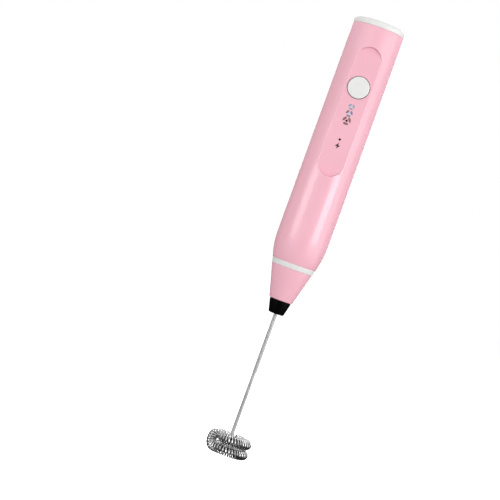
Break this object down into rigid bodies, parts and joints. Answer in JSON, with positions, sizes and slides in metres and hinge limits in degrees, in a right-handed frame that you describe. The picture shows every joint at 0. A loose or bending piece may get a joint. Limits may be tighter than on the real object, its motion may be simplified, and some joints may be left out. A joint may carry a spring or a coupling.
{
  "type": "milk frother",
  "caption": "Cordless hand-held milk frother: round handle with front panel, push button, nose cone and a pull-off rod with a double wire-coil whisk.",
  "frame": {"origin": "on the drive axis, halfway along the straight barrel of the handle", "axes": "+Z along the drive axis towards the end cap, with the whisk pointing down; the push button faces -Y; +X to the right seen from the button's side"},
  "size_m": [0.03, 0.03, 0.2555],
  "materials": {
    "pink_shell": "satin-gloss pink moulding",
    "white_trim": "semi-gloss white moulding",
    "black_rubber": "matt black rubber",
    "bronze": "sintered bronze",
    "brass_tab": "turned or stamped brass",
    "copper": "copper, modelled with the density of brass",
    "frame_plastic": "matt natural plastic",
    "cell_wrap": "blue shrink-wrap",
    "plated_steel": "nickel-plated steel",
    "lead_insulation": "red and black lead insulation",
    "board_laminate": "green solder mask",
    "chip_black": "black moulded package",
    "led_resin": "clear resin",
    "lit_lens": "translucent lens, lit light blue",
    "dark_lens": "smoked lens, unlit",
    "magnet": "sintered ferrite",
    "ground_steel": "ground steel",
    "lamination_steel": "stacked steel sheets",
    "black_gloss": "glossy black moulding",
    "rod_steel": "drawn stainless wire",
    "coil_steel": "bright stainless spring wire"
  },
  "bodies": {
    "handle": {"handle_shell": "pink_shell", "nose_cone": "pink_shell", "end_cap": "white_trim", "trim_ring": "white_trim", "cap_seal": "black_rubber", "shaft_seal": "black_rubber", "motor_damper": "black_rubber", "nose_bush": "bronze", "motor_bushes": "bronze", "motor_terminals": "brass_tab", "motor_brushes": "bronze", "inner_frame": "frame_plastic", "motor_end_bell": "frame_plastic", "battery_cell": "cell_wrap", "battery_tabs": "plated_steel", "battery_leads": "lead_insulation", "motor_leads": "lead_insulation", "circuit_board": "board_laminate", "board_screws": "plated_steel", "motor_screws": "plated_steel", "control_chips": "chip_black", "switch_body": "chip_black", "socket_tongue": "chip_black", "indicator_leds": "led_resin", "speed_light_1": "lit_lens", "speed_light_2": "lit_lens", "speed_light_3": "dark_lens", "charge_light": "dark_lens", "charge_socket": "plated_steel", "motor_can": "plated_steel", "motor_magnets": "magnet"},
    "drive": {"motor_shaft": "ground_steel", "armature_core": "lamination_steel", "armature_windings": "copper", "commutator": "copper", "drive_spindle": "brass_tab"},
    "whisk": {"whisk_collar": "black_gloss", "whisk_wire": "rod_steel", "whisk_coil": "coil_steel"},
    "button": {"button_cap": "white_trim", "switch_plunger": "chip_black"}
  },
  "joints": [
    {"name": "drive_spin", "type": "hinge", "parent": "handle", "child": "drive", "pos_m": [0, 0, 0], "axis": [0, 0, 1], "continuous": true},
    {"name": "whisk_pull_off", "type": "slide", "parent": "drive", "child": "whisk", "axis": [0, 0, -1], "range_m": [0, 0.02]},
    {"name": "button_press", "type": "slide", "parent": "handle", "child": "button", "axis": [0, 1, 0], "range_m": [0, 0.0004], "stiffness_N_per_m": 3000, "springref_m": -0.0003}
  ]
}
